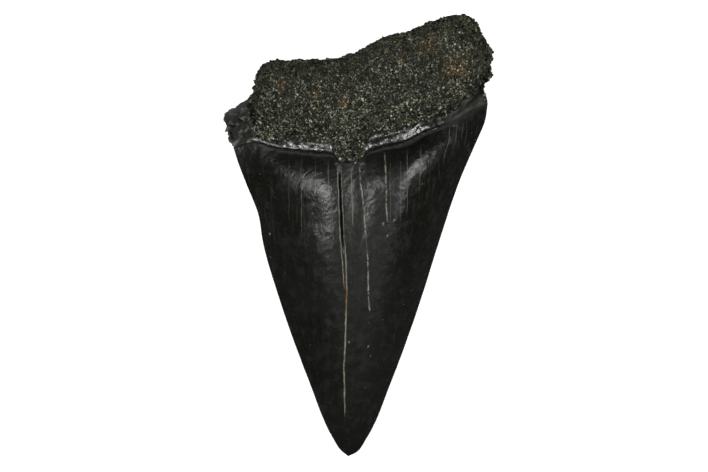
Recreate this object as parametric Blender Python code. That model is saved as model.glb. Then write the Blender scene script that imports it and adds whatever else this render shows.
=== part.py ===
"""Fossil mako shark tooth, one grown piece, lying on the flatter of its two faces.

The blade is a long triangle with sharp edges, domed above and nearly flat below.
Above it sits the thick, sandy root with a small lobe on its left and a smooth neck
on its right, and a polished lip runs along the line where the enamel ends. The tooth
is a front sheet and a back sheet that share their outline, and every row of points
runs from the left edge to the right one. Lengths are millimetres until the mesh is
made; +X is right, +Y leads from the tip to the root, +Z is up.
"""

import bpy
import numpy as np
from mathutils import Vector, noise

MM = 0.001
BOX_CENTRE = (0.0, 0.0)

# Outline of the blade, from the tip to the end of the enamel on each side
TIP = (-1.1, -27.65)
BLADE_LEFT = (
    TIP, (-2.1, -26.8), (-3.05, -25.3), (-6.1, -18.0), (-9.7, -8.0), (-11.85, -0.5),
    (-12.3, 2.4), (-13.9, 6.6), (-15.0, 9.5), (-15.5, 11.1),
)
BLADE_RIGHT = (
    TIP, (0.1, -27.0), (1.2, -25.4), (4.4, -18.0), (8.0, -8.0), (10.3, -0.7),
    (12.9, 7.0), (15.05, 12.0), (16.05, 14.4), (16.4, 16.6),
)

# Where the enamel ends: y at shares of the way across, and the tab of root over its middle
ENAMEL_SHARES = (0.0, 0.08, 0.16, 0.26, 0.4, 0.5, 0.6, 0.68, 0.75, 0.85, 0.93, 1.0)
ENAMEL_FRONT = (11.1, 11.75, 10.95, 10.45, 10.1, 10.25, 11.0, 11.6, 12.75, 14.0, 15.4, 16.6)
ENAMEL_BACK_BOW = 1.5
TAB_SHARES = (0.385, 0.535)
TAB_SOFT = 0.04
TAB_DEPTH = 1.1
TAB_START = 0.82

# Top outline of the root, from the end of the left lobe to the right corner
ROOT_TOP = (
    (-16.8, 14.3), (-16.5, 15.3), (-15.3, 15.9), (-13.9, 16.9), (-12.9, 18.6),
    (-11.8, 21.1), (-10.6, 21.9), (-9.2, 21.8), (-7.2, 22.0), (-4.9, 21.7),
    (-1.9, 22.2), (0.6, 23.1), (3.4, 24.75), (6.4, 25.65), (10.1, 27.05),
    (13.4, 27.5), (14.7, 27.0), (15.3, 25.6), (16.2, 24.2), (16.8, 21.9),
)
NICK_DEPTH = 0.75
NICK_PLACE = 0.42
NICK_WIDTH = 0.24

# Section of the blade
TIP_EDGE_HEIGHT = 1.3
BASE_EDGE_HEIGHT = 1.8
DOME_RISE = 6.2
DOME_PEAK = 0.92
DOME_TAPER = 0.85
DOME_POWER = 2.7
DOME_ROUND = 1.0
DOME_LEAN = 0.07
DOME_TIP_LEAN = 0.2
BACK_DEPTH = 2.6
BACK_POWER = 2.2
BULGE_HEIGHT = 0.22
BULGE_PLACE = 0.34
BULGE_WIDTH = 0.17
FURROW_DEPTH = 0.3
FURROW_PLACE = -0.08
FURROW_WIDTH = 0.12
GUTTER_DEPTH = 1.2
GUTTER_START = 0.86
GUTTER_POWER = 1.5
GUTTER_UNDER_TAB = 0.4

# Polished lip and smooth neck between the blade and the root
LIP_SHARES = (0.0, 0.1, 0.25, 0.37, 0.55, 0.7, 0.82, 1.0)
LIP_WIDTHS = (0.4, 0.8, 1.2, 1.3, 1.5, 1.5, 0.9, 0.5)
LIP_HEIGHT = 0.75
LIP_RISE = 0.4
LIP_SLOPE = -0.06
NECK_WIDTH = 2.2
NECK_START = 0.78
ROOT_STEP = 0.35
ROOT_SLOPE = 3.5

# Section of the root
ROOT_HEIGHT = 11.2
ROOT_FOOT_DROP = 1.7
ROOT_TOP_DROP = 0.6
ROOT_EDGE_HEIGHT = 5.4
LOBE_DROP = 0.9
LOBE_EDGE = ((-12.4, 11.0), (-13.0, 16.0), (-12.4, 22.0))
BACK_HOLLOW = 0.55
BACK_FLAT = 0.12
LUMPS = ((0.3, 0.42), (0.75, 0.32), (1.6, 0.16))

# Crevice beside the left lobe, and the open crack down the blade
CREVICE = ((-13.15, 16.2), (-12.7, 13.9))
CREVICE_WIDTH = 0.4
CREVICE_DEPTH = 1.5
CRACK = ((-2.2, 9.0), (-2.05, 4.5), (-1.9, 1.0), (-1.5, -3.3), (-1.4, -10.5), (-1.5, -22.0), TIP)
CRACK_SHARE = 0.42
CRACK_WIDTH = 0.3
CRACK_DEPTH = 0.45
CRACK_TOP = 8.2
CRACK_END = -2.5

# Density of the mesh
COLUMNS = 48
BLADE_ROWS = 36
LIP_ROWS = (0.12, 0.5, 1.0)
ROOT_ROWS = 21


def ease(value):
    """0 below 0, 1 above 1, and a smooth climb between."""
    value = np.clip(value, 0.0, 1.0)
    return value * value * (3.0 - 2.0 * value)


def bell(value, place, width):
    return np.exp(-(((value - place) / width) ** 2))


def smooth(marks, values, at):
    """A smooth curve through the values given at the marks, read at other places."""
    values = np.array(values, float)
    slopes = np.gradient(values, marks, axis=0)
    start = np.clip(np.searchsorted(marks, at, side="right") - 1, 0, len(marks) - 2)
    gap = marks[start + 1] - marks[start]
    u = (at - marks[start]) / gap
    if values.ndim == 2:
        gap = gap[..., None]
        u = u[..., None]
    return (
        (2 * u**3 - 3 * u**2 + 1) * values[start]
        + (u**3 - 2 * u**2 + u) * gap * slopes[start]
        + (3 * u**2 - 2 * u**3) * values[start + 1]
        + (u**3 - u**2) * gap * slopes[start + 1]
    )


def along(points, shares):
    """Points at these shares of the length of a smooth curve through the given points."""
    lengths = np.hypot(*np.diff(np.array(points), axis=0).T)
    marks = np.concatenate([[0.0], np.cumsum(lengths)]) / lengths.sum()
    return smooth(marks, points, shares)


def between(left, right, share):
    return left + (right - left) * share[..., None]


def enamel_line(share, front):
    """Points where the enamel ends, on the front or on the back of the tooth."""
    line = between(np.array(BLADE_LEFT[-1]), np.array(BLADE_RIGHT[-1]), share)
    if front:
        line[..., 1] = smooth(np.array(ENAMEL_SHARES), ENAMEL_FRONT, share)
    else:
        line[..., 1] -= ENAMEL_BACK_BOW * np.sin(np.pi * share)
    return line


def tab(share):
    """1 where the root hangs down over the middle of the blade, 0 elsewhere."""
    first, last = TAB_SHARES
    return ease((share - first) / TAB_SOFT) * ease((last - share) / TAB_SOFT)


def edge_height(rise):
    """Height of the cutting edges, from the tip (0) to the end of the enamel (1)."""
    return TIP_EDGE_HEIGHT + (BASE_EDGE_HEIGHT - TIP_EDGE_HEIGHT) * rise


def blade_front(rise, share):
    """Height of the domed face, with two bulges and a furrow at its base."""
    side = 2.0 * share - 1.0
    lean = DOME_LEAN + (DOME_TIP_LEAN - DOME_LEAN) * (1.0 - rise) ** 2
    across = side - lean * (1.0 - side**2)
    inner = np.abs(across)
    base = ease((rise - 0.5) / 0.35)
    ridge = DOME_RISE * np.sin(0.5 * np.pi * rise / DOME_PEAK) ** DOME_TAPER
    dome = ridge * (1.0 - inner**DOME_POWER) ** DOME_ROUND
    bulges = bell(np.abs(across), BULGE_PLACE, BULGE_WIDTH)
    dome = dome + base * BULGE_HEIGHT * bulges
    dome = dome - base * FURROW_DEPTH * bell(across, FURROW_PLACE, FURROW_WIDTH)
    gutter = np.maximum(rise - GUTTER_START, 0.0) / (1.0 - GUTTER_START)
    filled = 1.0 - (1.0 - GUTTER_UNDER_TAB) * tab(share)
    dome = dome - GUTTER_DEPTH * gutter**GUTTER_POWER * (1.0 - inner**8) * filled
    return edge_height(rise) + np.maximum(dome, 0.0)


def blade_back(rise, share):
    depth = np.minimum(edge_height(rise), BACK_DEPTH * np.sqrt(rise))
    return edge_height(rise) - depth * (1.0 - np.abs(2.0 * share - 1.0) ** BACK_POWER)


def band_width(share):
    """Width of the lip, with the tab that covers it and the neck it widens into."""
    neck = NECK_WIDTH * ease((share - NECK_START) / (1.0 - NECK_START))
    lip = smooth(np.array(LIP_SHARES), LIP_WIDTHS, share)
    return lip + neck + TAB_DEPTH * tab(share)


def lip_height(share):
    left_end = ease((share - 0.05) / 0.05)
    right_end = 1.0 - 0.85 * ease((share - 0.72) / 0.14)
    return LIP_HEIGHT * left_end * right_end


def root_section(rise, share, front):
    """Height of a face of the root, a thick cushion with rounded edges."""
    side = np.abs(2.0 * share - 1.0)
    turn = ease(rise / 0.3)
    middle = BASE_EDGE_HEIGHT + (ROOT_EDGE_HEIGHT - BASE_EDGE_HEIGHT) * ease(rise / 0.8)
    if front:
        body = ROOT_HEIGHT - ROOT_FOOT_DROP * (1.0 - rise) ** 3 - ROOT_TOP_DROP * rise**2
        across = (1.0 - side ** (2.4 + 3.6 * turn)) ** (0.8 - 0.3 * turn)
        return middle + (body - middle) * across * np.sqrt(1.0 - rise**5)
    across = (1.0 - side ** (BACK_POWER + 3.0 * turn)) ** (1.0 - 0.5 * turn)
    hollow = BACK_HOLLOW * bell(rise, 0.35, 0.3) * bell(share, 0.5, 0.16)
    return middle - middle * across * np.sqrt(1.0 - rise**6) + hollow


def root_front(rise, share, distance, blade_top):
    """Height of the root's front: lip or neck, a small step, and then the cushion."""
    width = band_width(share)
    ends = ease((1.0 - np.abs(2.0 * share - 1.0)) / 0.05)
    lip = lip_height(share) * ease(distance / LIP_RISE) + LIP_SLOPE * np.minimum(distance, width)
    step = ROOT_STEP * ease((distance - width) / 0.3)
    low = blade_top + ends * (lip + step)
    climb = ease((distance - width) / ROOT_SLOPE)
    return low + (root_section(rise, share, True) - low) * climb


def distance_to(points, path):
    """Distance in the plane from each point to a line through a few points."""
    best = np.full(points.shape[:-1], np.inf)
    for first, last in zip(path, path[1:]):
        first = np.array(first)
        way = np.array(last) - first
        share = np.clip((points - first) @ way / (way @ way), 0.0, 1.0)
        near = first + share[..., None] * way
        best = np.minimum(best, np.linalg.norm(points - near, axis=-1))
    return best


def crack_x(y):
    path = np.array(CRACK)[::-1]
    return np.interp(y, path[:, 1], path[:, 0])


def crack_depth(points):
    """Depth of the open crack: a groove that runs out towards the middle of the blade."""
    x, y = points[..., 0], points[..., 1]
    across = np.clip(1.0 - np.abs(x - crack_x(y)) / (0.5 * CRACK_WIDTH), 0.0, 1.0)
    length = ease((CRACK_TOP - y) / 1.0) * ease((y - CRACK_END) / 2.5)
    return CRACK_DEPTH * across * length


def blade_rows():
    """Shares of the way from the tip to the enamel's end, closer together near both."""
    even = np.linspace(0.0, 1.0, BLADE_ROWS + 1)[1:]
    return even**1.25 + 0.06 * np.sin(np.pi * even) * even


def root_rows(width, reach):
    """Shares of the way up the root for each row: the lip's rows, then the cushion's."""
    start = np.minimum(width / reach, 0.5)
    lip = [start * share for share in LIP_ROWS]
    even = np.linspace(0.0, 1.0, ROOT_ROWS + 1)[1:]
    spread = 0.45 * even + 0.55 * np.sin(0.5 * np.pi * even)
    return np.array(lip + [start + (1.0 - start) * share for share in spread])


def even_shares(count):
    even = np.linspace(0.0, 1.0, count + 1)
    return 0.45 * even + 0.55 * (0.5 - 0.5 * np.cos(np.pi * even))


def shares_with_crack(crack_share, half_width):
    """Shares of the columns across a row, with three of them on the crack."""
    shares = even_shares(COLUMNS)
    middle = np.argmin(np.abs(shares - CRACK_SHARE))
    held = shares[middle]
    pull = np.minimum(shares / held, (1.0 - shares) / (1.0 - held))
    shares = shares + (crack_share - held) * pull
    spacing = shares[middle + 1] - shares[middle]
    beside = min(0.25 * CRACK_WIDTH / half_width, 0.35 * spacing)
    lips = [crack_share - beside, crack_share, crack_share + beside]
    return np.concatenate([shares[:middle], lips, shares[middle + 1 :]])


def blade_plane(rise, share, front):
    """Places on the blade, seen from above, at shares of its length and its width."""
    left = along(BLADE_LEFT, rise)
    right = along(BLADE_RIGHT, rise)
    places = between(left, right, share)
    straight = between(np.array(BLADE_LEFT[-1]), np.array(BLADE_RIGHT[-1]), share)
    bow = (enamel_line(share, front) - straight)[..., 1]
    places[..., 1] += bow * rise**2
    if front:
        places[..., 1] -= TAB_DEPTH * tab(share) * ease((rise - TAB_START) / (1.0 - TAB_START))
    return places


def root_plane(start, top, rise, share):
    """Places on the root, seen from above, with a shallow nick in its right edge."""
    places = start + (top - start) * rise[:, None]
    places[:, 0] -= NICK_DEPTH * bell(rise, NICK_PLACE, NICK_WIDTH) * ease((share - 0.8) / 0.2)
    return places


def front_sheet():
    """Rows of points on the front, and how far each lies up the root from the enamel."""
    rows, up_root = [], []
    for rise in blade_rows():
        half = 0.5 * np.linalg.norm(along(BLADE_RIGHT, rise) - along(BLADE_LEFT, rise))
        crack_share = CRACK_SHARE
        for _ in range(8):
            place = blade_plane(rise, np.array(crack_share), True)
            crack_share += (crack_x(place[1]) - place[0]) / (2.0 * half)
        share = shares_with_crack(crack_share, half)
        places = blade_plane(rise, share, True)
        height = blade_front(rise, share) - crack_depth(places)
        rows.append(np.column_stack([places, height]))
        up_root.append(np.zeros(len(share)))
    start = rows[-1][:, :2]
    blade_top = rows[-1][:, 2]
    top = along(ROOT_TOP, share)
    reach = np.linalg.norm(top - start, axis=1)
    for rise in root_rows(band_width(share), reach):
        places = root_plane(start, top, rise, share)
        height = root_front(rise, share, rise * reach, blade_top)
        lobe = ease((np.interp(places[:, 1], *np.array(LOBE_EDGE).T[::-1]) - places[:, 0]) / 0.8)
        height -= LOBE_DROP * lobe * ease(rise / 0.2) * ease((1.0 - rise) / 0.3)
        height -= CREVICE_DEPTH * bell(distance_to(places, CREVICE), 0.0, CREVICE_WIDTH)
        rows.append(np.column_stack([places, height]))
        up_root.append(rise * reach - 0.5 * band_width(share))
    return np.array(rows), np.array(up_root)


def back_sheet(front):
    """Rows of points on the back, with every second column and the front's outline."""
    rows, up_root = [], []
    share = even_shares((front.shape[1] - 1) // 2)
    for rise in blade_rows():
        places = blade_plane(rise, share, False)
        rows.append(np.column_stack([places, blade_back(rise, share)]))
        up_root.append(np.zeros(len(share)))
    start = rows[-1][:, :2]
    top = along(ROOT_TOP, share)
    reach = np.linalg.norm(top - start, axis=1)
    for rise in root_rows(band_width(share), reach):
        places = root_plane(start, top, rise, share)
        rows.append(np.column_stack([places, root_section(rise, share, False)]))
        up_root.append(rise * reach)
    rows = np.array(rows)
    rows[:, 0] = front[:, 0]
    rows[:, -1] = front[:, -1]
    return rows, np.array(up_root)


def faces_of(rows, columns):
    """Faces of the closed surface. The back has half the front's columns."""
    half = columns // 2
    tip = 0
    back_start = 1 + rows * (columns + 1)

    def front(row, column):
        return 1 + row * (columns + 1) + column

    def back(row, column):
        if column in (0, half):
            return front(row, 2 * column)
        return back_start + row * (half - 1) + column - 1

    faces = [(tip, front(0, c + 1), front(0, c)) for c in range(columns)]
    faces += [(tip, back(0, c), back(0, c + 1)) for c in range(half)]
    for r in range(rows - 1):
        for c in range(columns):
            faces.append((front(r, c), front(r, c + 1), front(r + 1, c + 1), front(r + 1, c)))
    for r in range(rows - 2):
        for c in range(half):
            faces.append((back(r, c), back(r + 1, c), back(r + 1, c + 1), back(r, c + 1)))
    for c in range(half):
        low, high = back(rows - 2, c), back(rows - 2, c + 1)
        tops = [front(rows - 1, 2 * c + k) for k in range(3)]
        faces.append((low, tops[0], tops[1]))
        faces.append((low, tops[1], high))
        faces.append((high, tops[1], tops[2]))
    return faces


def tooth_mesh():
    front, front_up = front_sheet()
    back, back_up = back_sheet(front)
    rows, columns = front.shape[0], front.shape[1] - 1
    inner = back[:-1, 1:-1]
    points = np.concatenate([[[*TIP, TIP_EDGE_HEIGHT]], front.reshape(-1, 3), inner.reshape(-1, 3)])
    up_root = np.concatenate([[0.0], front_up.ravel(), back_up[:-1, 1:-1].ravel()])
    mesh = bpy.data.meshes.new("tooth")
    mesh.from_pydata(points.tolist(), [], faces_of(rows, columns))
    add_lumps(mesh, points, up_root)
    return mesh


def add_lumps(mesh, points, up_root):
    """Moves the root's points in and out by smooth noise, and presses the back flat."""
    normals = np.empty(len(points) * 3)
    mesh.vertices.foreach_get("normal", normals)
    normals = normals.reshape(-1, 3)
    strength = ease(up_root / 1.2)
    for frequency, height in LUMPS:
        swell = [noise.noise(Vector(point * frequency)) for point in points]
        points = points + normals * (height * strength * np.array(swell))[:, None]
    points[:, :2] -= BOX_CENTRE
    points[:, 2] = np.maximum(points[:, 2] - BACK_FLAT, 0.0)
    mesh.vertices.foreach_set("co", (points * MM).ravel())
    mesh.update()


def tooth_material():
    """Near black enamel: the root is a shade lighter in the real tooth."""
    material = bpy.data.materials.new("fossil_enamel")
    material.use_nodes = True
    shader = material.node_tree.nodes["Principled BSDF"]
    shader.inputs["Base Color"].default_value = (0.018, 0.018, 0.017, 1.0)
    shader.inputs["Roughness"].default_value = 0.4
    shader.inputs["Metallic"].default_value = 0.0
    return material


def main():
    for old in list(bpy.data.objects):
        bpy.data.objects.remove(old, do_unlink=True)
    mesh = tooth_mesh()
    mesh.shade_smooth()
    mesh.materials.append(tooth_material())
    tooth = bpy.data.objects.new("tooth", mesh)
    bpy.context.scene.collection.objects.link(tooth)


main()
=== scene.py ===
"""Look of the fossil mako shark tooth: a fine skin over the solid, and the root's sand.

The skin follows the same outlines and sections as the solid, with the fine relief of
the root and the blade added, and tens of thousands of grains are sunk in the root.
Lengths are millimetres until a mesh is made; +X is right, +Y leads from the tip to the
root. A share is a part of the way across the tooth, from its left edge to its right one,
and a name that ends in CLIMB holds where a smooth climb from 0 to 1 starts and its length.
"""

import math
from itertools import combinations

import bpy
import numpy as np
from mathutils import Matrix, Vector, noise


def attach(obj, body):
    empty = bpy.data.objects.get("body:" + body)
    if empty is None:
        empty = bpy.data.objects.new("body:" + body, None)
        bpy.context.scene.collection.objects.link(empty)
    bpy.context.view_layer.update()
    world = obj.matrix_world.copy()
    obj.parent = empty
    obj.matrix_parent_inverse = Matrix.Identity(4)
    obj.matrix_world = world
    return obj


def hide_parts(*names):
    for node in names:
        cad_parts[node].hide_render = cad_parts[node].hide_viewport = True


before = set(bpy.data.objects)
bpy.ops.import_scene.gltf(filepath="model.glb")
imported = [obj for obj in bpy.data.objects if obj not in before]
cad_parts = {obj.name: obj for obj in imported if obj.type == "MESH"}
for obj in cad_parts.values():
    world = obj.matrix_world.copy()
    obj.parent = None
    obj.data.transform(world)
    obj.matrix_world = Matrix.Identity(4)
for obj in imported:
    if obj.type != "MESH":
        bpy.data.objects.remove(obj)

MM = 0.001

# Outline of the blade, from the tip to the end of the enamel on each side
TIP = (-1.1, -27.65)
BLADE_LEFT = (
    TIP, (-2.1, -26.8), (-3.05, -25.3), (-6.1, -18.0), (-9.7, -8.0), (-11.85, -0.5),
    (-12.3, 2.4), (-13.9, 6.6), (-15.0, 9.5), (-15.5, 11.1),
)
BLADE_RIGHT = (
    TIP, (0.1, -27.0), (1.2, -25.4), (4.4, -18.0), (8.0, -8.0), (10.3, -0.7),
    (12.9, 7.0), (15.05, 12.0), (16.05, 14.4), (16.4, 16.6),
)

# Where the enamel ends: y at shares of the way across, and the tab of root over its middle
ENAMEL_SHARES = (0.0, 0.08, 0.16, 0.26, 0.4, 0.5, 0.6, 0.68, 0.75, 0.85, 0.93, 1.0)
ENAMEL_FRONT = (11.1, 11.75, 10.95, 10.45, 10.1, 10.25, 11.0, 11.6, 12.75, 14.0, 15.4, 16.6)
ENAMEL_BACK_BOW = 1.5
TAB_SHARES = (0.385, 0.535)
TAB_SOFT = 0.04
TAB_DEPTH = 1.1
TAB_START = 0.82

# Top outline of the root, from the end of the left lobe to the right corner
ROOT_TOP = (
    (-16.8, 14.3), (-16.5, 15.3), (-15.3, 15.9), (-13.9, 16.9), (-12.9, 18.6),
    (-11.8, 21.1), (-10.6, 21.9), (-9.2, 21.8), (-7.2, 22.0), (-4.9, 21.7),
    (-1.9, 22.2), (0.6, 23.1), (3.4, 24.75), (6.4, 25.65), (10.1, 27.05),
    (13.4, 27.5), (14.7, 27.0), (15.3, 25.6), (16.2, 24.2), (16.8, 21.9),
)
NICK_DEPTH = 0.75
NICK_PLACE = 0.42
NICK_WIDTH = 0.24
NICK_CLIMB = (0.8, 0.2)

# Section of the blade
TIP_EDGE_HEIGHT = 1.3
BASE_EDGE_HEIGHT = 1.8
DOME_RISE = 6.2
DOME_PEAK = 0.92
DOME_TAPER = 0.85
DOME_POWER = 2.7
DOME_LEAN = 0.07
DOME_TIP_LEAN = 0.2
BACK_DEPTH = 2.6
BACK_POWER = 2.2
BULGE_HEIGHT = 0.22
BULGE_PLACE = 0.34
BULGE_WIDTH = 0.17
BULGE_CLIMB = (0.5, 0.35)
FURROW_DEPTH = 0.3
FURROW_PLACE = -0.08
FURROW_WIDTH = 0.12
GUTTER_DEPTH = 1.2
GUTTER_START = 0.86
GUTTER_POWER = 1.5
GUTTER_UNDER_TAB = 0.4
GUTTER_EDGE_POWER = 8

# Polished lip and smooth neck between the blade and the root
LIP_SHARES = (0.0, 0.1, 0.25, 0.37, 0.55, 0.7, 0.82, 1.0)
LIP_WIDTHS = (0.4, 0.8, 1.2, 1.3, 1.5, 1.5, 0.9, 0.5)
LIP_HEIGHT = 0.75
LIP_RISE = 0.4
LIP_SLOPE = -0.06
LIP_LEFT_CLIMB = (0.05, 0.05)
LIP_RIGHT_CLIMB = (0.72, 0.14)
LIP_RIGHT_FALL = 0.85
NECK_WIDTH = 2.2
NECK_START = 0.78
ROOT_STEP = 0.35
ROOT_STEP_RUN = 0.3
ROOT_SLOPE = 3.5

# Section of the root
ROOT_HEIGHT = 11.2
ROOT_FOOT_DROP = 1.7
ROOT_TOP_DROP = 0.6
ROOT_EDGE_HEIGHT = 5.4
LOBE_DROP = 0.9
LOBE_EDGE = ((-12.4, 11.0), (-13.0, 16.0), (-12.4, 22.0))
LOBE_SOFT = 0.8
LOBE_FADES = (0.2, 0.3)
ROOT_TURN = 0.3
ROOT_EDGE_RUN = 0.8
ROOT_END_SOFT = 0.05
FRONT_TOP_POWER = 5
BACK_TOP_POWER = 6
HOLLOW_DEPTH = 0.55
HOLLOW_UP = (0.35, 0.3)
HOLLOW_ACROSS = (0.5, 0.16)
BACK_FLAT = 0.12
LUMPS = ((0.3, 0.42), (0.75, 0.32), (1.6, 0.16))

# How square the root's section is, and how steep its sides are, at its foot and higher up
FRONT_SQUARE = (2.4, 6.0)
FRONT_STEEP = (0.8, 0.5)
BACK_SQUARE = (2.2, 5.2)
BACK_STEEP = (1.0, 0.5)

# Crevice beside the left lobe, and the open crack down the blade
CREVICE = ((-13.15, 16.2), (-12.7, 13.9))
CREVICE_WIDTH = 0.4
CREVICE_DEPTH = 1.5
CREVICE_SHADE = 0.32
CRACK = ((-2.2, 9.0), (-2.05, 4.5), (-1.9, 1.0), (-1.5, -3.3), (-1.4, -10.5), (-1.5, -22.0), TIP)
CRACK_SHARE = 0.42
CRACK_WIDTH = 0.3
CRACK_DEPTH = 0.45
CRACK_TOP = 8.2
CRACK_END = -2.5
CRACK_FADES = (2.5, 1.0)

# Density of the mesh, and the blade's rough length, which turns a rise into millimetres
COLUMNS = 258
BACK_STEP = 4
BLADE_ROWS = 150
LIP_ROWS = (0.04, 0.08, 0.13, 0.19, 0.26, 0.35, 0.45, 0.56, 0.67, 0.78, 0.89, 1.0)
LIP_ROWS_LIMIT = 0.5
ROOT_ROWS = 116
BLADE_ROW_POWER = 1.25
BLADE_ROW_PULL = 0.06
CROWDING = 0.55
CRACK_COLUMN_GAP = 0.35
CRACK_TRIES = 8
BLADE_LENGTH = 38.0

# Where the sand, the lip and the neck meet. Waves are to a millimetre, with their heights,
# and a shift keeps one noise apart from the next
SAND_EDGE = 0.15
SAND_RAGGED = ((1.3, 0.3),)
SAND_RAGGED_SHIFT = 5.0
NECK_SOFT = 0.08
FIBRE_BANDS = ((0.25, 0.25, 1.0), (0.9, 0.09, 0.8))
LIP_SHINE_CLIMB = (0.06, 0.03)
# The next two bound a painted shade on the enamel below the lip
LIP_FOOT = 0.1
LIP_SHADE = 2.4
# The next four set the place, width, ends and fades of a painted highlight line along the left part of
# the lip
LIP_HIGHLIGHT_PLACE = 0.32
LIP_HIGHLIGHT_WIDTH = 0.15
LIP_HIGHLIGHT_ENDS = (0.06, 0.31)
LIP_HIGHLIGHT_FADES = (0.02, 0.06)
# Width of a painted shade on the narrow band where the enamel meets the lip
SEAM_SHADE_WIDTH = 0.17

# Groove between the sand and the lip
GROOVE_WIDTH = 0.34
GROOVE_DEPTH = 0.3
GROOVE_ENDS = (0.5, 0.93)
GROOVE_FADES = (0.04, 0.05)
GROOVE_MEAN = 0.7
GROOVE_WAVES = ((0.9, 0.8),)
GROOVE_SHIFT = 17.0

# Fine relief of the root and the lip
GRAIN_SINK = 0.12
LUMPS_START = 1.2
FINE_LUMPS = ((2.6, 0.2), (5.2, 0.13))
LUMP_SHIFT = 7.0
PIT_FREQUENCY = 0.85
PIT_SHIFT = 31.0
PIT_CLIMB = (0.28, 0.25)
PIT_DEPTH = 0.35
LIP_CRINKLES = ((0.8, 0.12), (2.2, 0.05))
CRINKLE_SHIFT = 9.0

# Fine relief of the blade: each flank's dip by its place across, from -1 to 1, and its depth,
# and a low ridge by its x, y, width, length and height
BLADE_DIMPLES = ((0.9, 0.02), (2.2, 0.008))
DIMPLE_SHIFT = 3.0
FLANK_DIPS = ((-0.52, 0.4), (0.42, 0.62))
FLANK_REACH = 3.2
FLANK_WIDTH = 0.22
FLANK_POWER = 1.5
BLADE_RIDGE = (3.7, 6.7, 0.9, 1.4, 0.09)

# Rusty stains on the front: x, y, radius and strength
RUST_SPOTS = (
    (-1.4, -7.8, 1.8, 0.9),
    (-9.25, 18.5, 0.5, 1.0),
    (-1.75, 16.5, 0.6, 0.8),
    (-5.0, 17.4, 0.5, 0.5),
    (5.4, 21.9, 0.5, 0.6),
    (12.2, 20.6, 1.3, 0.8),
    (9.0, 23.5, 1.2, 0.4),
)

# Small pale specks on the enamel: x, y, radius and strength
PALE_SPECKS = (
    (-10.9, 0.25, 0.15, 1.0),
    (3.25, 1.5, 0.22, 1.0),
    (4.6, 2.0, 0.18, 1.0),
    (3.75, 0.1, 0.15, 1.0),
    (-1.0, -13.25, 0.15, 1.0),
    (1.4, -13.75, 0.12, 1.0),
)

# The dark open crack: path, and fade at its ends
OPEN_CRACK = (((-2.2, 7.2), (-2.05, 4.5), (-1.9, 1.0), (-1.6, -1.8)), 1.0)

# Hairline cracks filled with silt: path, fade at the ends, width, strength and beading
SILT_LINES = (
    (((-2.42, 8.6), (-2.27, 4.5), (-2.14, 1.0), (-1.97, -1.5), (-1.6, -6.4)), 1.0, 0.13, 0.9, 0.5),
    (((-1.96, 8.6), (-1.81, 4.5), (-1.66, 1.0), (-1.5, -2.0)), 1.0, 0.11, 0.7, 0.5),
    (((-1.45, -1.5), (-1.27, -7.0), (-1.38, -10.5), (-1.6, -16.8), (-1.5, -22.0)), 2.0, 0.2, 1.0, 0.5),
    (((0.3, 9.3), (0.5, 6.4), (0.9, 2.6), (1.35, -3.0), (1.4, -6.8), (1.6, -9.5)), 1.0, 0.2, 1.0, 1.0),
    (((-0.8, 9.3), (-0.6, 4.5), (-0.5, 1.4)), 1.5, 0.13, 0.7, 0.4),
    (((3.4, 10.2), (3.55, 8.4), (3.65, 3.6), (3.75, 1.9)), 1.0, 0.2, 1.0, 1.0),
    (((5.4, 9.0), (5.4, 2.4)), 2.5, 0.09, 0.3, 0.5),
    (((6.2, 11.2), (6.3, 6.5), (6.2, 3.7)), 2.5, 0.09, 0.45, 0.3),
    (((8.0, 11.2), (7.9, 8.7), (7.7, 5.6)), 2.5, 0.09, 0.4, 0.3),
    (((11.6, 13.6), (11.5, 12.1), (10.7, 9.4)), 2.0, 0.09, 0.4, 0.3),
    (((12.5, 13.8), (12.2, 11.5)), 1.5, 0.08, 0.35, 0.3),
    (((13.3, 14.0), (13.0, 12.4)), 1.5, 0.08, 0.3, 0.3),
    (((-6.95, 10.6), (-6.9, 0.7)), 3.0, 0.09, 0.35, 0.5),
    (((-8.5, 10.2), (-8.5, 2.0)), 3.0, 0.08, 0.2, 0.5),
    (((-3.55, 9.3), (-3.55, 4.5)), 2.0, 0.09, 0.4, 0.4),
    (((-5.2, 9.8), (-5.2, 5.5)), 2.0, 0.07, 0.2, 0.5),
    (((4.1, 9.0), (4.1, 2.0)), 2.0, 0.08, 0.25, 0.5),
    (((1.0, 9.0), (1.6, 3.0)), 2.0, 0.07, 0.2, 0.5),
)

# How a crack wanders, how thin it gets, an offset past every crack, and the shares of its
# width at which the silt begins and is full
CRACK_WANDER = ((0.7, 0.07), (2.6, 0.04))
CRACK_THINNEST = 0.01
OFF_ALL_CRACKS = 9.0
SILT_EDGE = 0.6
SILT_CORE = 0.2

# Sand grains: the longest edge of a grain of radius 1, how the grains vary, and each set's
# name, seed, count, size and the side it faces
LONGEST_EDGE = 1.1
GRAIN_JAGGED = 0.22
GRAIN_STRETCH = (0.65, 1.25)
GRAIN_SPREAD = 0.38
GRAIN_LIMITS = (0.25, 0.8)
GRAIN_RISE = (-0.35, 0.25)
# The next two darken the grains near the root's top outline, where its surface turns away: a painted
# shade
GRAIN_TOP_SHADE = 0.22
GRAIN_TOP_SHADE_REACH = 2.2
GRAIN_SETS = (
    ("root_sand_coarse", 11, 9900, 0.2, 1.0),
    ("root_sand_middle", 12, 9900, 0.15, 1.0),
    ("root_sand_fine", 14, 9900, 0.13, 1.0),
    ("root_sand_back", 13, 8000, 0.3, -1.0),
)

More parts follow.
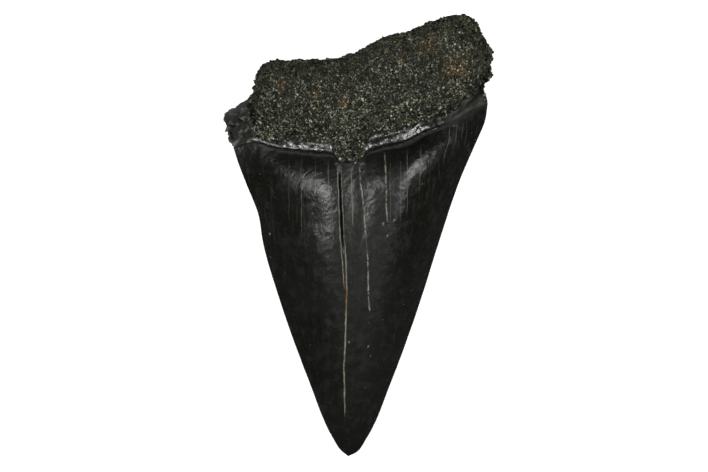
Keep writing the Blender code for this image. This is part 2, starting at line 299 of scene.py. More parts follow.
# Colours, as linear light
ENAMEL_DARK = (0.007, 0.0075, 0.005, 1.0)
ENAMEL_PALE = (0.0125, 0.013, 0.0105, 1.0)
ENAMEL_SCUFF = (0.03, 0.03, 0.027, 1.0)
LIP_DARK = (0.012, 0.012, 0.01, 1.0)
LIP_PALE = (0.07, 0.07, 0.062, 1.0)
# Near white for the painted highlight line on the lip
LIP_HIGHLIGHT_COLOUR = (0.85, 0.85, 0.8, 1.0)
LOBE_DARK = (0.04, 0.041, 0.034, 1.0)
LOBE_PALE = (0.34, 0.345, 0.3, 1.0)
SILT_COLOUR = (0.5, 0.48, 0.38, 1.0)
SILT_DARK = (0.1, 0.095, 0.07, 1.0)
RUST_COLOUR = (0.32, 0.17, 0.035, 1.0)
# Near black for painted shade: in the open crack, below the lip, at the lip's foot and in the root's
# pits
SHADE_BLACK = (0.001, 0.001, 0.001, 1.0)
NECK_DARK = (0.008, 0.008, 0.006, 1.0)
NECK_PALE = (0.07, 0.072, 0.058, 1.0)
GROUND_DARK = (0.003, 0.003, 0.002, 1.0)
GROUND_PALE = (0.025, 0.026, 0.016, 1.0)
SAND_OLIVE = (0.17, 0.175, 0.06, 1.0)
# The palest steps are partly real pale grains and partly painted glints
SAND_STEPS = (
    (0.0, (0.002, 0.002, 0.0015, 1.0)),
    (0.3, (0.016, 0.017, 0.01, 1.0)),
    (0.6, (0.135, 0.143, 0.1, 1.0)),
    (0.8, (0.34, 0.352, 0.25, 1.0)),
    (0.93, (0.75, 0.76, 0.6, 1.0)),
    (1.0, (1.0, 1.0, 0.88, 1.0)),
)

# Roughness, from 0 for a mirror to 1 for chalk, and the refractive index of two surfaces
ENAMEL_ROUGHNESS = (0.25, 0.37)
SHADE_ROUGHNESS = 0.3
NECK_ROUGHNESS = 0.5
SILT_ROUGHNESS = 0.8
GROUND_ROUGHNESS = 0.8
LIP_ROUGHNESS = (0.16, 0.38)
SAND_ROUGHNESS = (0.15, 0.7)
FLOOR_ROUGHNESS = 0.9
LIP_IOR = 1.9
SAND_IOR = 1.38

# Patterns: waves to a millimetre, detail, where the pattern starts and is full, and its
# value before and after
CLOUDS = (0.18, 4.0, 0.35, 0.7)
SCUFFS = (0.9, 5.0, 0.5, 0.75)
SPECKS = (3.2, 1.0, 0.78, 0.83)
STREAKS = (2.4, 2.0, 0.56, 0.74)
STREAK_STRETCH = (1.0, 20.0, 1.0)
BEADS = (2.4, 4.0, 0.47, 0.56, 0.1)
BEAD_STRETCH = (1.0, 1.3, 1.0)
BRIDGES = (0.9, 1.0, 0.6, 0.64)
BRIDGE_STRETCH = (4.0, 1.0, 4.0)
STRANDS = (2.6, 3.0, 0.36, 0.66, 0.2)
STRAND_STRETCH = (6.0, 1.0, 1.0)
NECK_TURN = 0.6
GROUND_SPECKS = (1.1, 6.0, 0.38, 0.66)
LIP_WEAR = (1.6, 4.0, 0.4, 0.65)
# The next pattern breaks the painted highlight line on the lip into bits
LIP_HIGHLIGHT_BREAKS = (3.0, 2.0, 0.4, 0.55)
SAND_MOTTLE = (5.0, 2.0, 0.35, 0.65, 0.45, 1.25)
SAND_PATCHES = (0.28, 2.0, 0.36, 0.64, 0.65, 1.0)
SAND_CLUMPS = (1.1, 2.0, 0.34, 0.6, 0.5, 1.0)

# Plain noises: waves to a millimetre and detail
SILT_TONES = (1.1, 2.0)
PEEL = (1.6, 4.0)
PEEL_STRETCH = (1.7, 1.0, 1.0)
STRIAE = (3.0, 2.0)
STRIAE_STRETCH = (1.0, 14.0, 1.0)
GRIT = (4.5, 3.0)
LIP_BUMPS = (2.2, 3.0)
SAND_BUMPS = (9.0, 2.0)
FLOOR_FIBRES = (0.8, 3.0)
FLOOR_BUMPS = (2.0, 2.0)

# Depth of the bumps in the materials, in millimetres
PEEL_DEPTH = 0.085
STRIAE_DEPTH = 0.012
GRIT_DEPTH = 0.12
LIP_BUMP_DEPTH = 0.1
SAND_BUMP_DEPTH = 0.03
FLOOR_BUMP_DEPTH = 0.02

# Shares of one colour over another, and bands: where a mark begins and is full, and its
# value before and after
SCUFF_SHARE = 0.35
SPECK_SHARE = 0.5
SHADE_SHARE = 0.8
RUST_ON_GROUND = 0.4
GRIT_ON_ENAMEL = 0.2
NEAR_ROOT = (-17.0, -6.0, 0.3, 1.0)
PALE_SPECK_BAND = (0.3, 0.8)
GAP_BAND = (0.13, 0.06)
OLIVE_BAND = (0.7, 0.95, 0.0, 0.7)
RUSTY_BAND = (0.55, 0.75)

# Camera: the photograph's size and the tooth's place in it in pixels, pixels to a millimetre
# at one height above the floor, and the lens and its sensor in millimetres
PHOTO_WIDTH = 708.0
PHOTO_HEIGHT = 472.0
PHOTO_SCALE = 8.0
TOOTH_CENTRE = (357.0, 236.0)
LENS = 200.0
SENSOR = 36.0
SCALE_HEIGHT = 3.0
CLIP_METRES = (0.01, 10.0)

# Floor and world
FLOOR_REACH = 1500.0
FLOOR_GAP = 0.02
FLOOR_COLOUR = (0.9, 0.9, 0.9, 1.0)
FLOOR_SHADE = (0.86, 0.86, 0.86, 1.0)
FLOOR_GLOW = 0.85
WORLD_COLOUR = (0.03, 0.03, 0.03, 1.0)

# Lights: name, lean across and along in degrees, distance, width and height in metres, radiance
SOFT_BOXES = (
    ("key_left", -31.0, 5.0, 0.45, 0.13, 0.16, 12.2),
    ("key_right", 32.0, 5.0, 0.45, 0.13, 0.16, 11.8),
    ("overhead", 0.0, 0.0, 0.75, 0.7, 0.7, 0.37),
)


def ease(value):
    """0 below 0, 1 above 1, and a smooth climb between."""
    value = np.clip(value, 0.0, 1.0)
    return value * value * (3.0 - 2.0 * value)


def climb(value, start, length):
    """0 up to the start, then a smooth climb of this length to 1."""
    return ease((value - start) / length)


def window(value, first, last, first_fade, last_fade):
    """1 between two places and 0 outside them, with a fade inside each end."""
    return climb(value, first, first_fade) * ease((last - value) / last_fade)


def bell(value, place, width):
    """1 at a place, and soon 0 further from it than the width."""
    return np.exp(-(((value - place) / width) ** 2))


def part_way(first, last, share):
    """The value at this share of the way from the first to the last."""
    return first + (last - first) * share


def smooth(marks, values, at):
    """A smooth curve through the values given at the marks, read at other places."""
    values = np.array(values, float)
    slopes = np.gradient(values, marks, axis=0)
    start = np.clip(np.searchsorted(marks, at, side="right") - 1, 0, len(marks) - 2)
    gap = marks[start + 1] - marks[start]
    u = (at - marks[start]) / gap
    if values.ndim == 2:
        gap = gap[..., None]
        u = u[..., None]
    return (
        (2 * u**3 - 3 * u**2 + 1) * values[start]
        + (u**3 - 2 * u**2 + u) * gap * slopes[start]
        + (3 * u**2 - 2 * u**3) * values[start + 1]
        + (u**3 - u**2) * gap * slopes[start + 1]
    )


def along(points, shares):
    """Points at these shares of the length of a smooth curve through the given points."""
    lengths = np.hypot(*np.diff(np.array(points), axis=0).T)
    marks = np.concatenate([[0.0], np.cumsum(lengths)]) / lengths.sum()
    return smooth(marks, points, shares)


def between(left, right, share):
    """Points at shares of the way from one point to another."""
    return part_way(left, right, share[..., None])


def enamel_line(share, front):
    """Points where the enamel ends, on the front or on the back of the tooth."""
    line = between(np.array(BLADE_LEFT[-1]), np.array(BLADE_RIGHT[-1]), share)
    if front:
        line[..., 1] = smooth(np.array(ENAMEL_SHARES), ENAMEL_FRONT, share)
    else:
        line[..., 1] -= ENAMEL_BACK_BOW * np.sin(np.pi * share)
    return line


def tab(share):
    """1 where the root hangs down over the middle of the blade, 0 elsewhere."""
    return window(share, *TAB_SHARES, TAB_SOFT, TAB_SOFT)


def edge_height(rise):
    """Height of the cutting edges, from the tip (0) to the end of the enamel (1)."""
    return part_way(TIP_EDGE_HEIGHT, BASE_EDGE_HEIGHT, rise)


def blade_front(rise, share):
    """Height of the domed face, with two bulges and a furrow at its base."""
    side = 2.0 * share - 1.0
    lean = part_way(DOME_LEAN, DOME_TIP_LEAN, (1.0 - rise) ** 2)
    across = side - lean * (1.0 - side**2)
    inner = np.abs(across)
    base = climb(rise, *BULGE_CLIMB)
    ridge = DOME_RISE * np.sin(0.5 * np.pi * rise / DOME_PEAK) ** DOME_TAPER
    dome = ridge * (1.0 - inner**DOME_POWER)
    bulges = bell(np.abs(across), BULGE_PLACE, BULGE_WIDTH)
    dome = dome + base * BULGE_HEIGHT * bulges
    dome = dome - base * FURROW_DEPTH * bell(across, FURROW_PLACE, FURROW_WIDTH)
    gutter = np.maximum(rise - GUTTER_START, 0.0) / (1.0 - GUTTER_START)
    filled = part_way(1.0, GUTTER_UNDER_TAB, tab(share))
    dome = dome - GUTTER_DEPTH * gutter**GUTTER_POWER * (1.0 - inner**GUTTER_EDGE_POWER) * filled
    return edge_height(rise) + np.maximum(dome, 0.0)


def blade_back(rise, share):
    depth = np.minimum(edge_height(rise), BACK_DEPTH * np.sqrt(rise))
    return edge_height(rise) - depth * (1.0 - np.abs(2.0 * share - 1.0) ** BACK_POWER)


def band_width(share):
    """Width of the lip, with the tab that covers it and the neck it widens into."""
    neck = NECK_WIDTH * climb(share, NECK_START, 1.0 - NECK_START)
    lip = smooth(np.array(LIP_SHARES), LIP_WIDTHS, share)
    return lip + neck + TAB_DEPTH * tab(share)


def lip_height(share):
    right_end = 1.0 - LIP_RIGHT_FALL * climb(share, *LIP_RIGHT_CLIMB)
    return LIP_HEIGHT * climb(share, *LIP_LEFT_CLIMB) * right_end


def root_section(rise, share, front):
    """Height of a face of the root, a thick cushion with rounded edges."""
    side = np.abs(2.0 * share - 1.0)
    turn = ease(rise / ROOT_TURN)
    middle = part_way(BASE_EDGE_HEIGHT, ROOT_EDGE_HEIGHT, ease(rise / ROOT_EDGE_RUN))
    if front:
        body = ROOT_HEIGHT - ROOT_FOOT_DROP * (1.0 - rise) ** 3 - ROOT_TOP_DROP * rise**2
        across = (1.0 - side ** part_way(*FRONT_SQUARE, turn)) ** part_way(*FRONT_STEEP, turn)
        return middle + (body - middle) * across * np.sqrt(1.0 - rise**FRONT_TOP_POWER)
    across = (1.0 - side ** part_way(*BACK_SQUARE, turn)) ** part_way(*BACK_STEEP, turn)
    hollow = HOLLOW_DEPTH * bell(rise, *HOLLOW_UP) * bell(share, *HOLLOW_ACROSS)
    return middle - middle * across * np.sqrt(1.0 - rise**BACK_TOP_POWER) + hollow


def root_front(rise, share, distance, blade_top):
    """Height of the root's front: lip or neck, a small step, and then the cushion."""
    width = band_width(share)
    ends = ease((1.0 - np.abs(2.0 * share - 1.0)) / ROOT_END_SOFT)
    lip = lip_height(share) * ease(distance / LIP_RISE) + LIP_SLOPE * np.minimum(distance, width)
    step = ROOT_STEP * climb(distance, width, ROOT_STEP_RUN)
    low = blade_top + ends * (lip + step)
    return part_way(low, root_section(rise, share, True), climb(distance, width, ROOT_SLOPE))


def distance_to(points, path):
    """Distance in the plane from each point to a line through a few points."""
    best = np.full(points.shape[:-1], np.inf)
    for first, last in zip(path, path[1:]):
        first = np.array(first)
        way = np.array(last) - first
        share = np.clip((points - first) @ way / (way @ way), 0.0, 1.0)
        near = first + share[..., None] * way
        best = np.minimum(best, np.linalg.norm(points - near, axis=-1))
    return best


def crack_x(y):
    path = np.array(CRACK)[::-1]
    return np.interp(y, path[:, 1], path[:, 0])


def crack_depth(points):
    """Depth of the open crack: a groove that runs out towards the middle of the blade."""
    x, y = points[..., 0], points[..., 1]
    across = np.clip(1.0 - np.abs(x - crack_x(y)) / (0.5 * CRACK_WIDTH), 0.0, 1.0)
    return CRACK_DEPTH * across * window(y, CRACK_END, CRACK_TOP, *CRACK_FADES)


def blade_rows():
    """Shares of the way from the tip to the enamel's end, closer together near both."""
    even = np.linspace(0.0, 1.0, BLADE_ROWS + 1)[1:]
    return even**BLADE_ROW_POWER + BLADE_ROW_PULL * np.sin(np.pi * even) * even


def root_rows(width, reach):
    """Shares of the way up the root for each row: the lip's rows, then the cushion's."""
    start = np.minimum(width / reach, LIP_ROWS_LIMIT)
    lip = [start * share for share in LIP_ROWS]
    even = np.linspace(0.0, 1.0, ROOT_ROWS + 1)[1:]
    spread = part_way(even, np.sin(0.5 * np.pi * even), CROWDING)
    return np.array(lip + [part_way(start, 1.0, share) for share in spread])


def column_shares(count):
    """Shares of the columns across a row, closer together near both edges."""
    even = np.linspace(0.0, 1.0, count + 1)
    return part_way(even, 0.5 - 0.5 * np.cos(np.pi * even), CROWDING)


def shares_with_crack(crack_share, half_width):
    """Shares of the columns across a row, with three of them on the crack."""
    shares = column_shares(COLUMNS)
    middle = np.argmin(np.abs(shares - CRACK_SHARE))
    held = shares[middle]
    pull = np.minimum(shares / held, (1.0 - shares) / (1.0 - held))
    shares = shares + (crack_share - held) * pull
    spacing = shares[middle + 1] - shares[middle]
    beside = min(0.25 * CRACK_WIDTH / half_width, CRACK_COLUMN_GAP * spacing)
    lips = [crack_share - beside, crack_share, crack_share + beside]
    return np.concatenate([shares[:middle], lips, shares[middle + 1 :]])


def blade_plane(rise, share, front):
    """Places on the blade, seen from above, at shares of its length and its width."""
    left = along(BLADE_LEFT, rise)
    right = along(BLADE_RIGHT, rise)
    places = between(left, right, share)
    straight = between(np.array(BLADE_LEFT[-1]), np.array(BLADE_RIGHT[-1]), share)
    bow = (enamel_line(share, front) - straight)[..., 1]
    places[..., 1] += bow * rise**2
    if front:
        places[..., 1] -= TAB_DEPTH * tab(share) * climb(rise, TAB_START, 1.0 - TAB_START)
    return places


def lobe_at(places):
    """1 on the left lobe of the root, 0 to the right of its edge."""
    edge_x, edge_y = np.array(LOBE_EDGE).T
    return ease((np.interp(places[:, 1], edge_y, edge_x) - places[:, 0]) / LOBE_SOFT)


def root_plane(start, top, rise, share):
    """Places on the root, seen from above, with a shallow nick in its right edge."""
    places = start + (top - start) * rise[:, None]
    places[:, 0] -= NICK_DEPTH * bell(rise, NICK_PLACE, NICK_WIDTH) * climb(share, *NICK_CLIMB)
    return places


def front_sheet():
    """Rows of points on the front, with each point's share across and way up the root.

    In the rows of the blade a few tries find the share at which the crack runs.
    """
    rows, up_root, shares = [], [], []
    for rise in blade_rows():
        half = 0.5 * np.linalg.norm(along(BLADE_RIGHT, rise) - along(BLADE_LEFT, rise))
        crack_share = CRACK_SHARE
        for _ in range(CRACK_TRIES):
            place = blade_plane(rise, np.array(crack_share), True)
            crack_share += (crack_x(place[1]) - place[0]) / (2.0 * half)
        share = shares_with_crack(crack_share, half)
        places = blade_plane(rise, share, True)
        height = blade_front(rise, share) - crack_depth(places)
        rows.append(np.column_stack([places, height]))
        up_root.append(np.full(len(share), (rise - 1.0) * BLADE_LENGTH))
        shares.append(share)
    start = rows[-1][:, :2]
    blade_top = rows[-1][:, 2]
    top = along(ROOT_TOP, share)
    reach = np.linalg.norm(top - start, axis=1)
    for rise in root_rows(band_width(share), reach):
        places = root_plane(start, top, rise, share)
        height = root_front(rise, share, rise * reach, blade_top)
        height -= LOBE_DROP * lobe_at(places) * window(rise, 0.0, 1.0, *LOBE_FADES)
        height -= CREVICE_DEPTH * bell(distance_to(places, CREVICE), 0.0, CREVICE_WIDTH)
        rows.append(np.column_stack([places, height]))
        up_root.append(rise * reach)
        shares.append(share)
    return np.array(rows), np.array(up_root), np.array(shares)


def back_sheet(front):
    """Rows of points on the back, with fewer columns and the front's outline."""
    rows, up_root, shares = [], [], []
    share = column_shares((front.shape[1] - 1) // BACK_STEP)
    for rise in blade_rows():
        places = blade_plane(rise, share, False)
        rows.append(np.column_stack([places, blade_back(rise, share)]))
        up_root.append(np.full(len(share), (rise - 1.0) * BLADE_LENGTH))
        shares.append(share)
    start = rows[-1][:, :2]
    top = along(ROOT_TOP, share)
    reach = np.linalg.norm(top - start, axis=1)
    for rise in root_rows(band_width(share), reach):
        places = root_plane(start, top, rise, share)
        rows.append(np.column_stack([places, root_section(rise, share, False)]))
        up_root.append(rise * reach)
        shares.append(share)
    rows = np.array(rows)
    rows[:, 0] = front[:, 0]
    rows[:, -1] = front[:, -1]
    return rows, np.array(up_root), np.array(shares)


def faces_of(rows, columns):
    """Triangles of the closed surface. The back has a few of the front's columns."""
    wide = columns // BACK_STEP
    back_start = 1 + rows * (columns + 1)
    front = 1 + np.arange(rows * (columns + 1)).reshape(rows, columns + 1)
    back = np.empty((rows - 1, wide + 1), int)
    back[:, 0] = front[:-1, 0]
    back[:, -1] = front[:-1, -1]
    back[:, 1:-1] = back_start + np.arange((rows - 1) * (wide - 1)).reshape(rows - 1, wide - 1)
    faces = []

    def patch(low_left, low_right, high_right, high_left):
        faces.append(np.stack([low_left, low_right, high_right], -1).reshape(-1, 3))
        faces.append(np.stack([low_left, high_right, high_left], -1).reshape(-1, 3))

    patch(front[:-1, :-1], front[:-1, 1:], front[1:, 1:], front[1:, :-1])
    patch(back[:-1, 1:], back[:-1, :-1], back[1:, :-1], back[1:, 1:])
    tip = np.zeros(columns, int)
    faces.append(np.stack([tip, front[0, 1:], front[0, :-1]], -1))
    faces.append(np.stack([tip[:wide], back[0, :-1], back[0, 1:]], -1))
    low, top = back[-1], front[-1]
    for step in range(BACK_STEP):
        near = low[:-1] if step < BACK_STEP // 2 else low[1:]
        first = top[step : columns : BACK_STEP]
        faces.append(np.stack([near, first, top[step + 1 :: BACK_STEP]], -1))
    faces.append(np.stack([low[:-1], top[BACK_STEP // 2 : columns : BACK_STEP], low[1:]], -1))
    return np.concatenate(faces)


def skin_arrays():
    """Points, triangles and per-point facts of the whole surface, in millimetres."""
    front, front_up, front_share = front_sheet()
    back, back_up, back_share = back_sheet(front)
    rows, columns = front.shape[0], front.shape[1] - 1

    def joined_up(tip, whole, inner):
        width = whole.shape[2:] if whole.ndim > 2 else ()
        parts = [np.reshape(tip, (1, *width)), whole.reshape(-1, *width), inner.reshape(-1, *width)]
        return np.concatenate(parts)

    inside = (slice(None, -1), slice(1, -1))
    points = joined_up([*TIP, TIP_EDGE_HEIGHT], front, back[inside])
    up_root = joined_up(-BLADE_LENGTH, front_up, back_up[inside])
    share = joined_up(0.5, front_share, back_share[inside])
    on_front = joined_up(1.0, np.ones(front_up.shape), np.zeros(back_up[inside].shape))
    return points, faces_of(rows, columns), up_root, share, on_front


def mesh_of(name, points, faces):
    """A mesh from points in millimetres."""
    mesh = bpy.data.meshes.new(name)
    mesh.from_pydata((points * MM).tolist(), [], faces.tolist())
    return mesh


def normals_of(points, faces):
    corners = points[faces]
    flat = np.cross(corners[:, 1] - corners[:, 0], corners[:, 2] - corners[:, 0])
    normals = np.zeros_like(points)
    for corner in range(3):
        np.add.at(normals, faces[:, corner], flat)
    return normals / np.maximum(np.linalg.norm(normals, axis=1), 1e-12)[:, None]


def swell(points, frequency, shift=0.0):
    """Smooth noise from about -1 to 1 at each point."""
    return np.array([noise.noise(Vector(point * frequency + shift)) for point in points])


def relief(points, waves, shift):
    """A few noises in one, each given by its waves to a millimetre and its height."""
    return sum(height * swell(points, frequency, shift) for frequency, height in waves)


def give(mesh, name, values):
    """Stores a number, or three, at each point for the materials to read."""
    kind = "FLOAT_VECTOR" if np.ndim(values) == 2 else "FLOAT"
    field = "vector" if np.ndim(values) == 2 else "value"
    layer = mesh.attributes.new(name, kind, "POINT")
    layer.data.foreach_set(field, np.asarray(values, float).ravel())


def add_object(name, mesh):
    piece = bpy.data.objects.new(name, mesh)
    bpy.context.scene.collection.objects.link(piece)
    return piece


def root_masks(points, up_root, share, on_front):
    """How much each point belongs to the sand, the lip and the neck, and the neck's fibres."""
    clear = (band_width(share) - TAB_DEPTH * tab(share)) * (1.0 - tab(share)) * on_front
    ragged = relief(points, SAND_RAGGED, SAND_RAGGED_SHIFT) * on_front
    sandy = ease((up_root - clear + ragged) / SAND_EDGE)
    smooth_band = (up_root > 0.0) * (1.0 - sandy)
    neck = climb(share, NECK_START, NECK_SOFT)
    left_end = climb(share, *LIP_SHINE_CLIMB)
    lip = smooth_band * (1.0 - neck) * left_end
    across = np.clip(up_root / band_width(share), 0.0, 1.0)
    fibres = sum(strength * bell(across, place, width) for place, width, strength in FIBRE_BANDS)
    return np.maximum(sandy, smooth_band * (1.0 - left_end)), lip, smooth_band * neck, fibres


def groove_above_lip(points, up_root, share):
    """A narrow, uneven groove where the sandy root meets the lip and the neck."""
    middle = band_width(share) - TAB_DEPTH * tab(share) + 0.5 * GROOVE_WIDTH
    line = bell(up_root, middle, GROOVE_WIDTH) * window(share, *GROOVE_ENDS, *GROOVE_FADES)
    return line * ease(GROOVE_MEAN + relief(points, GROOVE_WAVES, GROOVE_SHIFT))


def flank_dip(up_root, share):
    """Depth of the dip in each flank of the blade, down to the foot of the lip."""
    along_blade = ease(1.0 + up_root / FLANK_REACH) ** FLANK_POWER
    along_blade = along_blade * (1.0 - ease(up_root / LIP_RISE))
    across = 2.0 * share - 1.0
    dips = sum(depth * bell(across, place, FLANK_WIDTH) for place, depth in FLANK_DIPS)
    return along_blade * dips


def spots_at(points, spots):
    """Strength at each point of round, soft spots given by x, y, radius and strength."""
    total = np.zeros(len(points))
    for x, y, radius, strength in spots:
        distance = np.hypot(points[:, 0] - x, points[:, 1] - y)
        total = np.maximum(total, strength * bell(distance, 0.0, radius))
    return total


def rust_at(points):
    """Strength of the rusty stains, which are on the front alone."""
    return spots_at(points, RUST_SPOTS) * (points[:, 2] > BASE_EDGE_HEIGHT)


def line_offsets(points, path, fade):
    """Sideways distance to a crack, which grows past its ends so that the crack tapers."""
    path = np.array(path)[::-1]
    y = points[:, 1]
    down = np.column_stack([0.0 * y, y, 0.0 * y])
    x = np.interp(y, path[:, 1], path[:, 0]) + relief(down, CRACK_WANDER, path[0, 0])
    length = ease((path[-1, 1] - y) / fade + 0.5) * ease((y - path[0, 1]) / fade + 0.5)
    return (points[:, 0] - x) / np.maximum(length, CRACK_THINNEST)


def silt_groups():
    """The silt lines by threes, because a vector at each point holds three offsets."""
    return [SILT_LINES[start : start + 3] for start in range(0, len(SILT_LINES), 3)]


def store_cracks(mesh, points, on_enamel):
    """Stores the offset to each crack, with the silt's lines kept to the front's enamel."""
    give(mesh, "open_crack", line_offsets(points, *OPEN_CRACK))
    elsewhere = np.where(on_enamel[:, None] > 0.5, 0.0, OFF_ALL_CRACKS)
    for group, lines in enumerate(silt_groups()):
        offsets = [line_offsets(points, path, fade) for path, fade, *_ in lines]
        give(mesh, f"silt_{group}", np.stack(offsets, 1) + elsewhere)


def lumpy(points, faces, strength):
    """The points moved by the root's coarse lumps, as on the solid, and their normals before."""
    normals = normals_of(points, faces)
    for frequency, height in LUMPS:
        points = points + normals * (height * strength * swell(points, frequency))[:, None]
    return points, normals


def fine_relief(points, sandy, lip, pits):
    """Height of the root's fine lumps and pits, the blade's dimples and the lip's crinkles."""
    height = sandy * (relief(points, FINE_LUMPS, LUMP_SHIFT) - PIT_DEPTH * pits - GRAIN_SINK)
    height = height + (1.0 - sandy) * relief(points, BLADE_DIMPLES, DIMPLE_SHIFT)
    return height + lip * relief(points, LIP_CRINKLES, CRINKLE_SHIFT)


def blade_ridge(points):
    """A low swelling on the right of the blade, just below the lip."""
    x, y, width, length, height = BLADE_RIDGE
    return height * bell(points[:, 0], x, width) * bell(points[:, 1], y, length)


def make_skin():
    """The whole surface of the tooth, with fine relief on the root and the blade."""
    points, faces, up_root, share, on_front = skin_arrays()
    sandy, lip, neck, fibres = root_masks(points, up_root, share, on_front)
    enamel = on_front * (1.0 - sandy)
    crevice = bell(distance_to(points[:, :2], CREVICE), 0.0, CREVICE_SHADE) * on_front
    groove = groove_above_lip(points, up_root, share) * on_front
    lobe = lobe_at(points) * (up_root > 0.0)
    strength = ease((up_root - 0.5 * band_width(share) * on_front) / LUMPS_START)
    smooth_points = points
    points, normals = lumpy(points, faces, strength)
    pits = climb(swell(points, PIT_FREQUENCY, PIT_SHIFT), *PIT_CLIMB)
    height = fine_relief(points, sandy, lip, pits) - GROOVE_DEPTH * groove
    height = height + (blade_ridge(points) - flank_dip(up_root, share)) * on_front
    points = points + normals * height[:, None]
    points[:, 2] = np.maximum(points[:, 2] - BACK_FLAT, 0.0)
    mesh = mesh_of("tooth_skin", points, faces)
    mesh.shade_smooth()
    # Painted shade on the enamel below the lip, darkest at the lip's foot
    shade = ease(1.0 + up_root / LIP_SHADE) * (up_root < LIP_FOOT) * lip_height(share) / LIP_HEIGHT
    # Painted highlight line along the left part of the lip
    edge = bell(up_root, LIP_HIGHLIGHT_PLACE, LIP_HIGHLIGHT_WIDTH) * window(share, *LIP_HIGHLIGHT_ENDS, *LIP_HIGHLIGHT_FADES)
    marks = {
        "sandy": sandy,
        "neck": neck,
        "fibres": fibres,
        "lobe": lobe,
        "up_root": up_root,
        # painted shade on the narrow band where the enamel meets the lip
        "seam_shade": bell(up_root, 0.0, SEAM_SHADE_WIDTH) * enamel,
        "lip_shade": shade * enamel,
        "lip_highlight": edge * on_front,
        # painted shade in the root's pits, the crevice and the groove
        "pits": np.maximum(np.maximum(pits, crevice), groove),
        "rust": rust_at(points),
        "pale_specks": spots_at(points, PALE_SPECKS) * on_front,
    }
    for name, values in marks.items():
        give(mesh, name, values)
    store_cracks(mesh, smooth_points, enamel)
    mesh.materials.append(skin_material())
    mesh.materials.append(lip_material())
    on_lip = lip[faces].mean(1) > 0.5
    mesh.polygons.foreach_set("material_index", on_lip.astype(int))
    grains = sandy * (1.0 - crevice) * (1.0 - groove) * (1.0 - lobe)
    return add_object("tooth_skin", mesh), points, faces, grains


def icosahedron():
    """Corners and faces of a regular solid of 20 faces, with corners 1 from its centre."""
    golden = (1.0 + math.sqrt(5.0)) / 2.0
    corners = []
    for one in (-1.0, 1.0):
        for other in (-golden, golden):
            corners += [(0.0, one, other), (one, other, 0.0), (other, 0.0, one)]
    corners = np.array(corners)
    corners /= np.linalg.norm(corners[0])
    faces = []
    gaps = np.linalg.norm(corners[:, None] - corners[None], axis=-1)
    joined = gaps < LONGEST_EDGE
    for a, b, c in combinations(range(len(corners)), 3):
        if joined[a, b] and joined[b, c] and joined[a, c]:
            turn = np.cross(corners[b] - corners[a], corners[c] - corners[a])
            faces.append((a, b, c) if turn @ corners[a] > 0 else (a, c, b))
    return corners, np.array(faces)


def random_turns(rng, count):
    """Random rotations as matrices, from random unit quaternions."""
    turns = rng.normal(size=(4, count))
    w, x, y, z = turns / np.linalg.norm(turns, axis=0)
    return np.stack(
        [
            np.stack([1 - 2 * (y * y + z * z), 2 * (x * y - z * w), 2 * (x * z + y * w)], -1),
            np.stack([2 * (x * y + z * w), 1 - 2 * (x * x + z * z), 2 * (y * z - x * w)], -1),
            np.stack([2 * (x * z - y * w), 2 * (y * z + x * w), 1 - 2 * (x * x + y * y)], -1),
        ],
        1,
    )


def scatter(rng, points, faces, weights, count):
    """Random places on the surface, with the surface's normal there."""
    corners = points[faces]
    flat = np.cross(corners[:, 1] - corners[:, 0], corners[:, 2] - corners[:, 0])
    area = np.linalg.norm(flat, axis=1)
    chance = area * weights[faces].mean(1)
    chosen = rng.choice(len(faces), count, p=chance / chance.sum())
    a, b = rng.random((2, count))
    over = a + b > 1.0
    a, b = np.where(over, 1.0 - a, a), np.where(over, 1.0 - b, b)
    places = corners[chosen, 0]
    places = places + a[:, None] * (corners[chosen, 1] - corners[chosen, 0])
    places = places + b[:, None] * (corners[chosen, 2] - corners[chosen, 0])
    return places, flat[chosen] / area[chosen][:, None]


def make_grains(name, seed, count, size, points, faces, weights):
    """Small, sharp, tumbled grains half sunk in the surface, as one mesh."""
    rng = np.random.default_rng(seed)
    places, normals = scatter(rng, points, faces, weights, count)
    shape, shape_faces = icosahedron()
    corners = shape * (1.0 + GRAIN_JAGGED * rng.uniform(-1.0, 1.0, (count, len(shape), 1)))
    corners = corners * rng.uniform(*GRAIN_STRETCH, (count, 1, 3))
    corners = np.einsum("nij,nkj->nki", random_turns(rng, count), corners)
    radii = 0.5 * size * np.exp(GRAIN_SPREAD * rng.normal(size=count))
    radii = np.clip(radii, GRAIN_LIMITS[0] * size, GRAIN_LIMITS[1] * size)
    rise = rng.uniform(*GRAIN_RISE, count) * radii
    centres = places + normals * rise[:, None]
    corners = centres[:, None] + corners * radii[:, None, None]
    corners[..., 2] = np.maximum(corners[..., 2], 0.0)
    all_faces = shape_faces[None] + len(shape) * np.arange(count)[:, None, None]
    mesh = mesh_of(name, corners.reshape(-1, 3), all_faces.reshape(-1, 3))
    # Painted shade: grains near the root's top outline are darker, where the surface turns away
    edge = 1.0 - GRAIN_TOP_SHADE * bell(distance_to(centres[:, :2], ROOT_TOP), 0.0, GRAIN_TOP_SHADE_REACH)
    give(mesh, "tone", np.repeat(edge * rng.uniform(0.0, 1.0, count), len(shape)))
    give(mesh, "tint", np.repeat(rng.random(count), len(shape)))
    give(mesh, "rust", np.repeat(rust_at(centres), len(shape)))
    return add_object(name, mesh)


